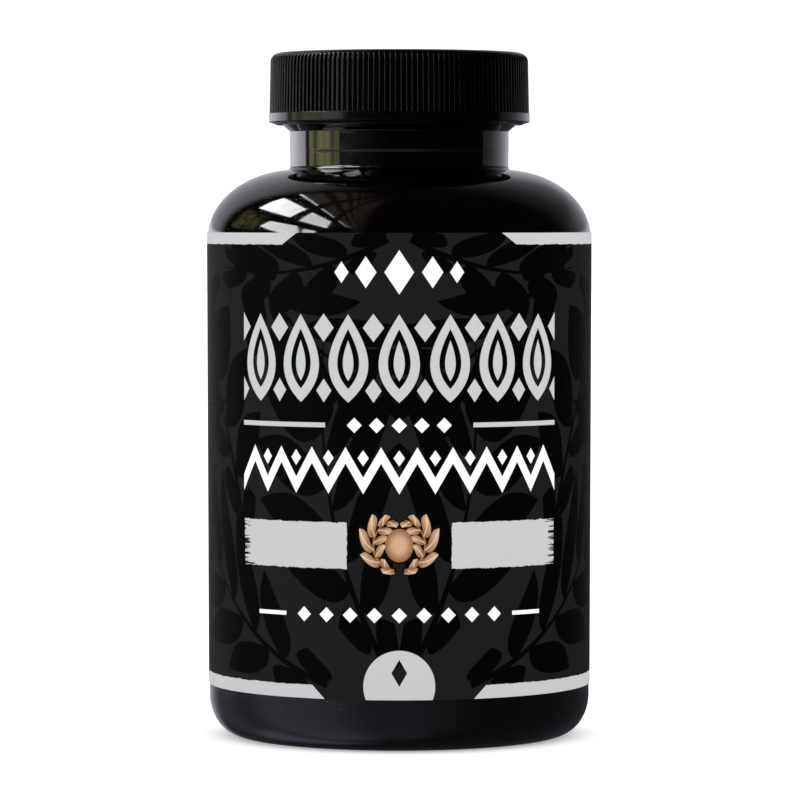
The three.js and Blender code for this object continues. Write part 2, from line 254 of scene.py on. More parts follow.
def skin(rows, tile=(0.0, 0.0, 1.0, 1.0), across=None):
    """Joins each closed ring of rows[i, j] to the next, and closes both ends with a fan to the
    end ring's middle. A face's place on the sheet is (share of the way round, share of the way
    along), inside the tile (left, low, width, height)."""
    n, m = rows.shape[:2]
    ends = np.stack((rows[0].mean(0), rows[-1].mean(0)))
    points = np.concatenate((rows.reshape(-1, 3), ends))
    i, j = np.meshgrid(np.arange(n - 1), np.arange(m), indexing="ij")
    k = (j + 1) % m
    quads = np.stack((i * m + j, i * m + k, (i + 1) * m + k, (i + 1) * m + j), -1).reshape(-1, 4)
    j0 = np.arange(m)
    k0 = (j0 + 1) % m
    foot = np.stack((np.full(m, n * m), k0, j0), -1)
    head = np.stack((np.full(m, n * m + 1), (n - 1) * m + j0, (n - 1) * m + k0), -1)

    u = np.arange(m + 1) / m if across is None else across
    steps = np.linalg.norm(np.diff(rows, axis=0), axis=2).mean(1)
    first = np.linalg.norm(rows[0] - ends[0], axis=1).mean()
    last = np.linalg.norm(rows[-1] - ends[1], axis=1).mean()
    v = np.cumsum(np.concatenate(([first], steps)))
    v = v / (v[-1] + last)
    middle = (u[j0] + u[j0 + 1]) / 2
    sheet = [
        corners_on_sheet((u[j], v[i]), (u[j + 1], v[i]), (u[j + 1], v[i + 1]),
                         (u[j], v[i + 1])).reshape(-1, 4, 2),
        corners_on_sheet((middle, 0.0), (u[j0 + 1], v[0]), (u[j0], v[0])),
        corners_on_sheet((middle, 1.0), (u[j0], v[-1]), (u[j0 + 1], v[-1])),
    ]

    faces = [quads, foot, head]
    triangles = np.concatenate((foot, quads[:, (0, 1, 2)], quads[:, (0, 2, 3)], head))
    a, b, c = (points[triangles[:, corner]] for corner in range(3))
    if np.einsum("ij,ij->", a, np.cross(b, c)) < 0:  # a negative volume: the faces look inwards
        faces, sheet = [f[:, ::-1] for f in faces], [s[:, ::-1] for s in sheet]
    at, size = np.array(tile[:2]), np.array(tile[2:])
    return points, faces, [at + size * s for s in sheet]


def put_object(name, data):
    """A new object at the origin that shows the data, linked to the scene."""
    made = bpy.data.objects.new(name, data)
    bpy.context.scene.collection.objects.link(made)
    return made


def put_mesh(name, surfaces, sharp=32.0, point_map=None):
    """A mesh object at the origin made of finished surfaces, shaded smooth except over edges
    sharper than the given degrees. point_map is (layer name, one pair for each point)."""
    points, faces, sheet, start = [], [], [], 0
    for surface_points, surface_faces, surface_sheet in surfaces:
        points.append(surface_points)
        for f, s in zip(surface_faces, surface_sheet):
            faces += (f + start).tolist()
            sheet.append(s.reshape(-1, 2))
        start += len(surface_points)
    mesh = bpy.data.meshes.new(name)
    mesh.from_pydata(np.concatenate(points).tolist(), [], faces)
    layer = mesh.uv_layers.new(name="OFBake")
    layer.data.foreach_set("uv", np.concatenate(sheet).astype(np.float32).ravel())
    if point_map is not None:
        corners = np.empty(len(mesh.loops), np.int32)
        mesh.loops.foreach_get("vertex_index", corners)
        layer = mesh.uv_layers.new(name=point_map[0])
        layer.data.foreach_set("uv", point_map[1][corners].astype(np.float32).ravel())
    mesh.polygons.foreach_set("use_smooth", np.ones(len(mesh.polygons), bool))
    mesh.set_sharp_from_angle(angle=math.radians(sharp))
    if mesh.validate():
        raise RuntimeError(name + " had faces that are not valid")
    mesh.update()
    return put_object(name, mesh)


def add_piece(name, surfaces, body, slot, material, *nodes, **shading):
    """A finished piece with its body and its material, in place of the nodes given. The slot is
    not used.
    """
    piece = put_mesh(name, surfaces, **shading)
    piece.data.materials.append(material)
    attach(piece, body)
    if nodes:
        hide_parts(*nodes)
    return piece


def panel_radius(b, z):
    """The panel's radius falls evenly by the draft from the shoulder down to the heel."""
    return b.radius - b.draft * (b.shoulder_start - z) / (b.shoulder_start - b.heel_height)


def bottle_outline(b):
    """Half section of the bottle from the middle of the base, up the outside, over the rim and
    down the inside to the floor: elliptic heel and shoulder, and round fillet, bead and rim."""
    stand = panel_radius(b, b.heel_height) - b.heel_reach
    shoulder = b.radius - b.shoulder_reach
    low_neck = b.neck_radius - NECK_STEP
    fillet_r = low_neck + NECK_FILLET
    fillet_z = b.shoulder_start + b.shoulder_rise + NECK_FILLET_RISE
    bead_round = 0.2 * MM
    bead_z = b.bead_high - bead_round
    inner_heel = b.heel_height + HEEL_THICKENING
    step = np.linspace(-1, 1, 13)
    neck_line = np.column_stack((
        low_neck + NECK_STEP * (0.5 + 0.5 * np.sin(step * math.pi / 2)),
        b.neck_line + NECK_LINE_HALF * step,
    ))
    dish = PUSH_UP_HEIGHT - PUSH_UP_DISH
    t = np.linspace(0.04, 1, 8)
    base = np.column_stack((
        PUSH_UP_RADIUS * t, PUSH_UP_HEIGHT - PUSH_UP_DISH * t * t,
    ))
    outside = [
        base,
        line((PUSH_UP_RADIUS + 0.3 * MM, dish - 0.1 * MM), (stand - STAND_WIDTH, 0.0), 5),
        line((stand - STAND_WIDTH, 0.0), (stand, 0.0), 3),
        arc((stand, b.heel_height), (b.heel_reach, b.heel_height), -1, 0, 26),
        line((panel_radius(b, b.heel_height), b.heel_height),
             (b.radius, b.shoulder_start), 12)[1:],
        arc((shoulder, b.shoulder_start), (b.shoulder_reach, b.shoulder_rise), 0,
            SHOULDER_SWEEP, 40),
        arc((fillet_r, fillet_z), (-NECK_FILLET, -NECK_FILLET), NECK_FILLET_SWEEP, 0, 18),
        line((low_neck, fillet_z), (low_neck, b.neck_line - NECK_LINE_HALF), 10)[1:],
        neck_line,
        line((b.neck_radius, b.neck_line + NECK_LINE_HALF),
             (b.neck_radius, b.bead_low - BEAD_FOOT), 10)[1:],
        arc((b.neck_radius + BEAD_FOOT, b.bead_low - BEAD_FOOT), (-BEAD_FOOT, BEAD_FOOT),
            0, 0.65, 6),
        arc((b.bead_radius - bead_round, bead_z), (bead_round, bead_round), -0.65, 0.9, 11),
        line((b.finish_radius, b.bead_high), (b.finish_radius, b.rim - RIM_ROUND), 3),
        arc((b.finish_radius - RIM_ROUND, b.rim - RIM_ROUND), (RIM_ROUND, RIM_ROUND), 0, 1, 7),
        arc((b.bore_radius + RIM_ROUND, b.rim - RIM_ROUND), (-RIM_ROUND, RIM_ROUND), 1, 0, 7),
    ]
    inside = [
        line((b.bore_radius, fillet_z + SHOULDER_WALL), (b.bore_radius, fillet_z), 3),
        arc((shoulder, b.shoulder_start),
            (b.shoulder_reach - b.wall, b.shoulder_rise - SHOULDER_WALL),
            SHOULDER_INNER_SWEEP, 0, 20),
        arc((stand - HEEL_THICKENING, inner_heel),
            (b.heel_reach - b.wall + HEEL_THICKENING, inner_heel - FLOOR_THICKNESS), 0, -1, 14),
        base[::-1] + (0.0, FLOOR_THICKNESS),
    ]
    return np.concatenate(outside + inside)


def thread_rows(foot, crest, widths, low, turns):
    """A thread's ridge, carried round the axis as a right-handed screw from +X. Its section
    goes from the foot's radius to the crest's, as a trapezoid of those two widths with rounded
    crest corners. It keeps its width, and its height fades to a small share over the run-out at
    both ends."""
    half_root, half_crest = widths[0] / 2, widths[1] / 2
    slant = half_root - half_crest
    flank = np.array([(0.0, -half_root), (0.45, -half_root + 0.45 * slant),
                      (0.82, -half_crest - 0.1 * slant), (0.95, -0.86 * half_crest),
                      (1.0, -0.55 * half_crest)])
    section = np.concatenate((flank, (flank * (1, -1))[::-1]))
    a = np.linspace(0, turns * 2 * math.pi, THREAD_STEPS)
    risen = np.minimum(1, np.minimum(a, a[-1] - a) / RUN_OUT)
    eased = risen * risen * (3 - 2 * risen)
    share = (END_HEIGHT + (1 - END_HEIGHT) * eased)[:, None]
    radius = foot + (crest - foot) * section[:, 0] * share
    z = low + section[:, 1] + (THREAD_PITCH * a / (2 * math.pi))[:, None]
    return np.stack((radius * np.cos(a)[:, None], radius * np.sin(a)[:, None], z), -1)


def bottle_thread_width(b, radius):
    """Width of the bottle's ridge at a radius, between its foot's and its crest's."""
    foot = b.finish_radius - THREAD_SINK
    share = (radius - foot) / (b.thread_radius - foot)
    return b.thread_root + (b.thread_crest - b.thread_root) * share


def cap_outline(c):
    """Half section of the cap from the middle of its top, down the outside, under the rounded
    edge and up the hollow, with the share of the rib's depth that each ring takes."""
    flat = c.rib_high - c.top_round
    top = np.column_stack((np.linspace(0.04, 0.97, 7) * flat, np.full(7, c.height)))
    edge = arc((flat, c.height - c.top_round), (c.top_round, c.top_round), 1, 0, 19)
    t = np.clip((np.linspace(0, 1, 19) - RIB_FADE[0]) / (RIB_FADE[1] - RIB_FADE[0]), 0, 1)
    edge_share = t * t * (3 - 2 * t)
    side = line((c.rib_high, c.height - c.top_round), (c.rib_low, c.rib_start), 10)[1:]
    foot = np.array([(c.rib_low, c.rib_start + 0.25 * MM), (c.rib_low, c.rib_start + LEDGE),
                     (c.radius - LEDGE, c.rib_start), (c.radius, c.rib_start - 0.04 * MM)])
    band = line((c.radius, c.rib_start - 0.06 * MM), (c.radius, c.edge_rise), 8)
    turn = arc((c.radius - EDGE_TURN[0], c.edge_rise), EDGE_TURN, 0, -0.75, 9)
    slope = np.array([(c.radius - 0.4 * c.edge_reach, 0.35 * MM),
                      (c.radius - 0.9 * c.edge_reach, 0.15 * MM),
                      (c.radius - 1.1 * c.edge_reach, 0.0)])
    under = np.concatenate((band, turn, slope))
    lead = 0.4 * MM
    hollow = np.array([(c.bore + lead, 0.0), (c.bore + 0.1 * MM, lead * 0.7), (c.bore, lead),
                       (c.bore, c.depth * 0.5), (c.bore, c.depth - 0.5 * MM),
                       (c.bore - 0.15 * MM, c.depth - 0.15 * MM), (c.bore - 0.5 * MM, c.depth),
                       (c.bore * 0.5, c.depth), (c.bore * 0.05, c.depth)])
    parts = (top, edge, side, foot, under, hollow)
    shares = (np.zeros(7), edge_share, np.ones(9), np.array((1.0, 0.55, 0.0, 0.0)),
              np.zeros(len(under)), np.zeros(9))
    return np.concatenate(parts), np.concatenate(shares)


def cap_rows(c):
    """The cap's rings. Over a rib's crest the radius falls as a circle does, by
    R - sqrt(R R - d d) at the distance d from its middle. From the crest's end to the foot it
    falls to the rib's whole depth, so round ribs stand on a flat ground. Each ring takes its
    own share of that fall."""
    outline, share = cap_outline(c)
    half = math.pi * c.rib_low / c.ribs
    d = np.array(RIB_COLUMNS + (half,) + RIB_COLUMNS[:0:-1])
    fall = RIB_CREST - np.sqrt(RIB_CREST**2 - np.minimum(d, RIB_COLUMNS[2]) ** 2)
    fall = np.tile(np.where(d < RIB_COLUMNS[3], fall, c.rib_depth), c.ribs)
    d[5:] = 2 * half - d[5:]
    a = (np.arange(c.ribs)[:, None] * 2 * half + d).ravel() / c.rib_low
    radius = outline[:, :1] - share[:, None] * fall
    z = outline[:, 1:] + c.low + 0 * a
    return np.stack((radius * np.cos(a), radius * np.sin(a), z), -1)


def label_rows(b, s, steps):
    """The film's section, a thin upright strip with rounded edges, carried round the panel from
    one side of the seam to the other. Gives its rings and (distance round, height) in metres."""
    rise = np.concatenate(([0.0, 0.3, 1.0], np.linspace(2.0, 98.0, 13), [99.0, 99.7, 100.0]))
    z = s.low + s.height * rise / 100
    round_off = np.zeros(len(z))
    round_off[[0, -1]] = 0.35 * s.thickness
    inner = panel_radius(b, z) + s.glue
    section_r = np.concatenate((inner + s.thickness - round_off, inner[::-1]))
    section_z = np.concatenate((z, z[::-1]))
    a = np.linspace(s.seam / 2, 2 * math.pi - s.seam / 2, steps) + math.pi / 2
    rows = np.stack((np.cos(a)[:, None] * section_r, np.sin(a)[:, None] * section_r,
                     section_z + 0 * a[:, None]), -1)
    around = (a - 1.5 * math.pi)[:, None] * b.radius + 0 * section_z
    return rows, np.stack((around, section_z + 0 * a[:, None]), -1)


def spread(count, seed):
    """The first count numbers, from 0 to 1, of the mulberry32 series of a seed."""
    top = np.uint64(0xFFFFFFFF)
    state = (np.arange(1, count + 1, dtype=np.uint64) * np.uint64(0x6D2B79F5)
             + np.uint64(seed)) & top
    t = ((state ^ (state >> np.uint64(15))) * (state | np.uint64(1))) & top
    t = ((t + (((t ^ (t >> np.uint64(7))) * (t | np.uint64(61))) & top)) & top) ^ t
    return (t ^ (t >> np.uint64(14))) / 4294967296.0


RINGS = ((28.6, 8), (19.2, 5), (9.4, 2))  # radius in millimetres and capsules in one layer


def capsule_places(f):
    """Middle and direction of every capsule: rings of capsules that lie along their circle,
    each turned on, drawn in and leaned by a seeded amount."""
    one_layer = [(radius * MM, members, k) for radius, members in RINGS for k in range(members)]
    radius, members, k = np.tile(np.array(one_layer), (f.layers, 1)).T
    layer = np.repeat(np.arange(f.layers), len(one_layer))
    draw = spread(3 * len(layer), f.seed).reshape(-1, 3)
    turn = (k + 0.5 * layer + 0.2 * draw[:, 0]) * 2 * math.pi / members
    radius = radius - f.wander * draw[:, 1]
    lean = f.lean * (2 * draw[:, 2] - 1)
    lowest = PUSH_UP_HEIGHT + FLOOR_THICKNESS + REST_GAP + f.radius
    lowest += f.length / 2 * math.sin(f.lean)
    x, y = radius * np.cos(turn), radius * np.sin(turn)
    middle = np.stack((x, y, lowest + layer * f.pitch), -1)
    direction = np.stack((-y / radius, x / radius, np.tan(lean)), -1)
    return middle, direction / np.linalg.norm(direction, axis=1)[:, None]


def capsule_outline(f):
    """Half section of a two-part capsule along its length: a round-ended body, over which a
    slightly wider round-ended cap reaches a little past the middle, down to a small step."""
    slim = f.radius - SHELL_STEP
    half = f.length / 2
    step = -0.1 * half
    ends = np.linspace(0.16, 1, 4) * math.pi / 2
    body = np.column_stack((slim * np.sin(ends), -half + slim * (1 - np.cos(ends))))
    cap = np.column_stack((f.radius * np.sin(ends), half - f.radius * (1 - np.cos(ends))))[::-1]
    joint = np.array([(slim, step), (f.radius - 0.03 * MM, step + 0.05 * MM),
                      (f.radius, step + 0.25 * MM)])
    return np.concatenate((body, joint, cap))


# ------------------------- materials
class Amount:
    """An output socket that takes part in sums; each sum adds a Math node."""

    def __init__(self, finish, socket):
        self.finish = finish
        self.socket = socket

    def __neg__(self):
        return self.finish.sum("SUBTRACT", 0.0, self)

    def __abs__(self):
        return self.finish.sum("ABSOLUTE", self)

    def eased(self, start, end):
        """Goes from 0 to 1 as the amount goes from start to end, up or down, eased."""
        if start < end:
            return self.finish.ramp(self, start, end)
        return self.finish.ramp(self, end, start, 1.0, 0.0)


def joined(operation, swapped):
    """A method that makes a Math node of an amount and something else, swapped or not."""
    def method(self, other):
        terms = (other, self) if swapped else (self, other)
        return self.finish.sum(operation, *terms)
    return method


for sign, operation in (("add", "ADD"), ("sub", "SUBTRACT"), ("mul", "MULTIPLY"),
                        ("truediv", "DIVIDE")):
    setattr(Amount, f"__{sign}__", joined(operation, False))
    setattr(Amount, f"__r{sign}__", joined(operation, True))


class Finish:
    """A material being made: one surface and what drives it."""

    def __init__(self, name, kind="ShaderNodeBsdfPrincipled", **constants):
        self.material = bpy.data.materials.new(name)
        self.material.use_nodes = True
        self.tree = self.material.node_tree
        self.tree.nodes.clear()
        self.surface = self.node(kind)
        self.node("ShaderNodeOutputMaterial", {}, {"Surface": self.surface.outputs[0]})
        for name_, value in constants.items():
            self.set(name_.replace("_", " "), value)

    def node(self, kind, settings=None, values=None):
        """A node of a type, with its settings set first and then its sockets' values or links.
        A socket is given by its name or by its number."""
        made = self.tree.nodes.new(kind)
        for name, value in (settings or {}).items():
            setattr(made, name, value)
        shown = [s for s in made.inputs if s.enabled]
        for key, value in (values or {}).items():
            socket = shown[key] if isinstance(key, int) else next(
                s for s in shown if s.name == key)
            self.feed(socket, value)
        return made

    def feed(self, socket, value):
        """Links a socket to an amount or another socket, or sets its value."""
        value = getattr(value, "socket", value)
        if isinstance(value, bpy.types.NodeSocket):
            self.tree.links.new(value, socket)
        elif socket.type == "RGBA":
            socket.default_value = (*value, 1.0)
        else:
            socket.default_value = value

    def set(self, name, value):
        """Sets or links a socket of the principled surface."""
        self.feed(self.surface.inputs[name], value)

    def sum(self, operation, *terms, clamp=False):
        made = self.node("ShaderNodeMath", {"operation": operation, "use_clamp": clamp},
                         dict(enumerate(terms)))
        return Amount(self, made.outputs[0])

    def least(self, first, *rest):
        for term in rest:
            first = self.sum("MINIMUM", first, term)
        return first

    def most(self, first, *rest):
        for term in rest:
            first = self.sum("MAXIMUM", first, term)
        return first

    def mix(self, share, first, second):
        """Colour that goes from first to second as share goes from 0 to 1."""
        made = self.node("ShaderNodeMix", {"data_type": "RGBA", "clamp_factor": True},
                         {0: share, 1: first, 2: second})
        return next(s for s in made.outputs if s.enabled)

    def place(self):
        """Object coordinates."""
        return self.node("ShaderNodeTexCoord").outputs["Object"]

    def parts(self, vector):
        made = self.node("ShaderNodeSeparateXYZ", {}, {0: vector})
        return [Amount(self, socket) for socket in made.outputs]

    def stretched(self, vector, by):
        """The vector with each part multiplied."""
        made = self.node("ShaderNodeVectorMath", {"operation": "MULTIPLY"},
                         {0: vector, 1: by})
        return made.outputs[0]

    def noise(self, vector, scale, detail=2.0, roughness=0.5):
        made = self.node("ShaderNodeTexNoise", {}, {
            "Vector": vector, "Scale": scale, "Detail": detail, "Roughness": roughness})
        return Amount(self, made.outputs[0])

    def ramp(self, amount, low, high, to_low=0.0, to_high=1.0):
        """Amount from low to high mapped to the other range, eased and held at both ends."""
        made = self.node("ShaderNodeMapRange", {"interpolation_type": "SMOOTHSTEP"}, {
            "Value": amount, "From Min": low, "From Max": high, "To Min": to_low,
            "To Max": to_high})
        return Amount(self, made.outputs[0])

    def bump(self, height, distance, strength, normal=None):
        values = {"Height": height, "Distance": distance, "Strength": strength}
        if normal is not None:
            values["Normal"] = normal
        return self.node("ShaderNodeBump", {}, values).outputs["Normal"]


def moulded_gloss(colours):
    """Glossy black plastic of the bottle: faint waves from the mould, dust and fine rubbing."""
    f = Finish("bottle gloss black", IOR=1.5, Specular_IOR_Level=0.5)
    p = f.place()
    waves = f.noise(f.stretched(p, (1.0, 1.0, 0.35)), 55.0, 1.0)
    tone = f.noise(p, 30.0, 3.0)
    f.set("Base Color", f.mix(tone, colours.bottle, colours.bottle * 1.7))
    rubbing = f.noise(f.stretched(p, (1.0, 1.0, 9.0)), 260.0, 4.0, 0.6)
    specks = f.ramp(f.noise(p, 2600.0, 1.0), 0.735, 0.80)
    f.set("Roughness", f.ramp(rubbing, 0.35, 0.8, 0.045, 0.11) + specks * 0.35)
    waved = f.bump(waves, 0.00035, 0.25)
    f.set("Normal", f.bump(specks, 0.00003, 0.5, waved))
    return f.material


def moulded_satin(colours):
    """Satin black plastic of the cap: fine spark-eroded texture, polished on the plain band."""
    f = Finish("cap satin black", IOR=1.5, Specular_IOR_Level=0.13, Coat_Roughness=0.12)
    p = f.place()
    x, y, _ = f.parts(p)
    tone = f.noise(p, 90.0, 3.0)
    f.set("Base Color", f.mix(tone, colours.cap, colours.cap * 1.5))
    band = f.ramp(f.sum("SQRT", x * x + y * y), *BAND_FINISH)
    f.set("Coat Weight", band * 0.22)
    f.set("Roughness", f.ramp(f.noise(p, 400.0, 3.0), 0.3, 0.7, 0.19, 0.25) - band * 0.05)
    f.set("Normal", f.bump(f.noise(p, 3200.0, 2.0), 0.00003, 0.2))
    return f.material


def liner_board(colours):
    """Pulp board of the liner with fine fibres and specks."""
    f = Finish("liner pulp board", IOR=1.45)
    p = f.place()
    fibres = f.noise(f.stretched(p, (1.0, 4.0, 1.0)), 900.0, 4.0, 0.65)
    specks = f.ramp(f.noise(p, 1500.0, 1.0), 0.70, 0.76)
    board = f.mix(fibres, colours.liner * 0.9, colours.liner)
    f.set("Base Color", f.mix(specks * 0.4, board, (0.42, 0.36, 0.27)))
    f.set("Roughness", f.ramp(fibres, 0.2, 0.8, 0.8, 0.95))
    f.set("Normal", f.bump(fibres, 0.00008, 0.5))
    return f.material


def capsule_gelatin(colours):
    """Glossy two-tone capsule shells over brown powder, told apart by a point attribute."""
    f = Finish("capsule gelatin", IOR=1.5)
    half = Amount(f, f.node("ShaderNodeAttribute", {"attribute_name": "half"}).outputs["Fac"])
    powder = f.noise(f.place(), 1400.0, 3.0, 0.7)
    light = f.mix(powder, colours.shell_light * 0.75, colours.shell_light)
    dark = f.mix(powder, colours.shell_dark * 0.8, colours.shell_dark)
    f.set("Base Color", f.mix(half, light, dark))
    f.set("Roughness", f.ramp(powder, 0.2, 0.8, 0.18, 0.3))
    f.set("Normal", f.bump(powder, 0.00004, 0.3))
    return f.material


def leaf_shape(f, share):
    """Half width of a leaf along its length: q (1 - q) (5.2 - 2.4 q), widest before its middle
    and below nothing past both its ends."""
    q = f.sum("MAXIMUM", f.sum("MINIMUM", share, 1.2), -0.2)
    return q * (1.0 - q) * (5.2 - 2.4 * q)


def turned_to(x, y, foot, heading):
    """Coordinates (along, across) from a foot, towards a heading in degrees."""
    c, s = math.cos(math.radians(heading)), math.sin(math.radians(heading))
    dx, dy = x - foot[0], y - foot[1]
    return dx * c + dy * s, dy * c - dx * s


def leafy_stem(f, along, across, size, reach, pitch, thick):
    """A stem with pairs of pointed leaves that slant forward and get smaller to its two ends.
    Gives how far inside a leaf and the stem a place is, in millimetres, how far it is from the
    leaf's own middle line, and its share of the leaf's length."""
    side = abs(across)
    left = f.sum("SIGN", across) * (0.25 * pitch)
    slanted = along - side * 0.85 + left
    middle = (f.sum("FLOOR", slanted / pitch) + 0.5) * pitch
    share = middle / size
    grown = share * (1.0 - share) * (4.0 * reach)
    off_line = abs(slanted - middle) * 0.78
    leaf = leaf_shape(f, side / grown) * (0.36 * pitch) - off_line
    stem = f.least(thick - along * (0.8 * thick / size) - side, along, size - along)
    return f.least(leaf, grown - 0.09 * reach), stem, off_line, side / grown


def leafy_branch(f, x, y, foot, heading, size, reach, pitch, bend):
    """A leafy stem from a foot towards a heading, bent by bend times its length squared."""
    along, across = turned_to(x, y, foot, heading)
    leaf, stem, _, _ = leafy_stem(f, along, across - bend * along * along, size, reach, pitch,
                                  0.6)
    return f.most(leaf, stem)


def box(f, x, y, centre, half):
    """How far inside an upright box a place is."""
    return f.least(half[0] - abs(x - centre[0]), half[1] - abs(y - centre[1]))


def lozenge(x, y, centre, half):
    """How far inside a lozenge a place is, near its edges."""
    slope = half[0] * half[1] / math.hypot(*half)
    return (1.0 - abs(x - centre[0]) / half[0] - abs(y - centre[1]) / half[1]) * slope


def repeated(f, x, pitch, shift=0.0):
    """Distance from the middle of the nearest of evenly spaced cells."""
    return x - f.sum("ROUND", (x - shift) / pitch) * pitch - shift


def inked(f, distance):
    """Share of ink where a place lies that far inside a shape."""
    return f.sum("ADD", distance / EDGE_SOFTNESS, 0.5, clamp=True)


def printed_film(colours, s):
    """Satin label film. Its ground is charcoal with near-black leafy branches. On it are stripes
    at both edges, a frieze of tall leaves, rules, a zigzag, a tan wreath between two brushed
    bars, a row of lozenges and an arched tab; on its back are ruled panels."""
    f = Finish("label satin print", IOR=1.45, Specular_IOR_Level=0.012)
    u, z, _ = f.parts(f.node("ShaderNodeUVMap", {"uv_map": "print"}).outputs[0])
    x, y = u * (PRINT_UNIT / MM), z * (PRINT_UNIT / MM)
    mirrored = abs(x)
    low, high = s.low / MM, (s.low + s.height) / MM
    flow = f.place()
    rough = (f.noise(flow, 620.0, 4.0, 0.7) - 0.5) * 1.5
    streak = f.noise(f.stretched(flow, (0.25, 0.25, 6.0)), 500.0, 4.0, 0.6)

    branches = [
        ((2.0, 15.0), 60.0, 58.0, 17.0, 9.0, 0.006),
        ((13.0, 12.0), 20.0, 48.0, 15.0, 8.0, 0.008),
        ((34.0, 92.0), 236.0, 50.0, 16.0, 8.5, -0.006),
        ((32.0, 38.0), 80.0, 52.0, 15.0, 9.0, -0.007),
        ((60.0, 12.0), 84.0, 74.0, 18.0, 10.0, 0.004),
        ((100.0, 10.0), 112.0, 70.0, 17.0, 9.5, -0.004),
        ((2.0, 91.0), -30.0, 34.0, 10.0, 6.5, 0.012),
    ]
    foliage = f.most(*[leafy_branch(f, mirrored, y, *b) for b in branches])

    # Stripes along both edges, cut off aslant before the middle
    stripe = f.least(high - y, y - (high - 2.1) + rough * 0.4,
                     (mirrored - 19.0 - (high - y) * 1.5) * 0.55)
    foot = f.least(y - low, low + 2.4 - y + rough * 0.4,
                   (mirrored - 13.6 - (y - low)) * 0.7)

    # Frieze of seven tall leaves, each an outline with a solid heart
    inside = f.least(31.9 - mirrored, 8.6 - abs(y - 70.0))
    cell = repeated(f, x, 9.1)
    tall = leaf_shape(f, (y - 62.2) / 15.6) * 3.55 - abs(cell)
    hollow = leaf_shape(f, (y - 64.6) / 10.6) * 1.95 - abs(cell)
    heart = leaf_shape(f, (y - 66.0) / 7.2) * 0.95 - abs(cell)
    between = repeated(f, x, 9.1, 4.55)
    bud = lozenge(between, y, (0.0, 64.3), (1.45, 2.1))
    drop = lozenge(between, y, (0.0, 75.4), (1.9, 2.5))
    frieze = f.least(f.most(f.least(tall, -hollow), heart, bud, drop), inside)

    rule = box(f, mirrored, y, (22.7, 58.2), (9.3, 0.42))
    dots = f.least(lozenge(repeated(f, x, 4.0), y, (0.0, 58.2), (1.35, 1.35)), 10.3 - mirrored)

    wave = abs(repeated(f, x, 6.4)) / 3.2
    zigzag = f.least(0.72 - abs(y - 47.5 - wave * 5.4) * 0.5, 32.0 - mirrored)
    studs = f.least(lozenge(repeated(f, x, 6.4), y, (0.0, 52.4), (1.0, 1.4)), 31.0 - mirrored)

    bar = box(f, mirrored, y, (20.6, 36.9), (11.2, 4.1))
    frayed = f.ramp(streak, 0.50, 0.60) * f.ramp(mirrored, 28.4, 31.6) * 3.0
    bar = bar + rough * 0.5 - frayed

    fine_rule = box(f, mirrored, y, (24.6, 24.6), (3.2, 0.36))
    row = f.least(lozenge(repeated(f, x, 4.4), y, (0.0, 24.6), (1.35, 1.35)), 19.9 - mirrored)

    arch = f.least(6.4 - f.sum("SQRT", x * x + (y - 12.0) * (y - 12.0)), y - low)
    arch_heart = lozenge(x, y, (0.0, 14.4), (1.4, 2.4))
    crest = f.most(lozenge(x, y, (0.0, 85.2), (2.6, 3.9)),
                   lozenge(mirrored, y, (5.9, 85.2), (1.9, 2.8)),
                   lozenge(mirrored, y, (10.3, 85.2), (1.3, 1.9)))

    # Ruled panels on the two back quarters
    back = mirrored - 82.0
    outer = box(f, back, y, (0.0, 50.5), (21.5, 33.0))
    frame_line = f.least(outer, 0.6 - outer)
    rules = f.least(0.14 - abs(repeated(f, y, 4.4)), 19.7 - abs(back), 30.5 - abs(y - 50.5))

    silver = f.most(stripe, foot, frieze, rule, f.least(bar, 31.9 - mirrored), arch,
                    frame_line, rules)
    silver = f.least(silver, -arch_heart)
    grey_ink = f.mix(streak, colours.silver * 0.93, colours.silver)
    white = f.most(crest, zigzag, studs, fine_rule, row, dots)

    # Tan wreath of leaves round a seed
    dx, dy = mirrored, y - WREATH_Z
    out = f.sum("SQRT", dx * dx + dy * dy)
    round_it = (f.sum("ARCTAN2", dy, dx) + math.pi / 2 - 0.2) * WREATH_RADIUS
    leaf, stem, off_line, share = leafy_stem(
        f, round_it, out - WREATH_RADIUS, WREATH_RADIUS * 2.75, 3.1, 2.45, 0.3)
    mottle = f.noise(flow, 900.0, 3.0)
    shade = f.ramp(share + (mottle - 0.5) * 0.5, 0.0, 1.0)
    blade = f.mix(shade, colours.brown, colours.tan)
    blade = f.mix(f.ramp(leaf, 0.0, 0.45, 0.6, 0.0), blade, colours.brown)
    blade = f.mix(inked(f, 0.09 - off_line) * 0.7, blade, (0.75, 0.58, 0.40))
    seed = 2.5 - f.sum("SQRT", dx * dx + dy * dy * 0.72)
    husk = f.mix(f.ramp(seed, 0.0, 1.7), colours.brown, colours.tan)
    grain = abs(repeated(f, f.sum("ARCTAN2", dx, dy + 4.5) * 9.0, 0.62))
    husk = f.mix(f.ramp(grain, 0.10, 0.22, 0.45, 0.0), husk, colours.brown)
    wreath = f.most(leaf, stem, seed)

    # The inks in the order in which they lie on each other
    tone = colours.ground
    for shape, ink in ((foliage, colours.foliage), (silver, grey_ink), (white, colours.white),
                       (wreath + 0.3, (0.003, 0.003, 0.003)), (f.most(leaf, stem), blade),
                       (seed, husk)):
        tone = f.mix(inked(f, shape), tone, ink)
    f.set("Base Color", tone)
    ink = f.most(inked(f, silver), inked(f, white), inked(f, wreath))
    fibre = f.noise(flow, 1500.0, 3.0)
    f.set("Roughness", f.ramp(fibre, 0.25, 0.75, 0.50, 0.58) + ink * 0.08
          - inked(f, foliage) * 0.05)
    raised = f.bump(ink, 0.00001, 0.4)
    f.set("Normal", f.bump(fibre, 0.00003, 0.2, raised))
    return f.material


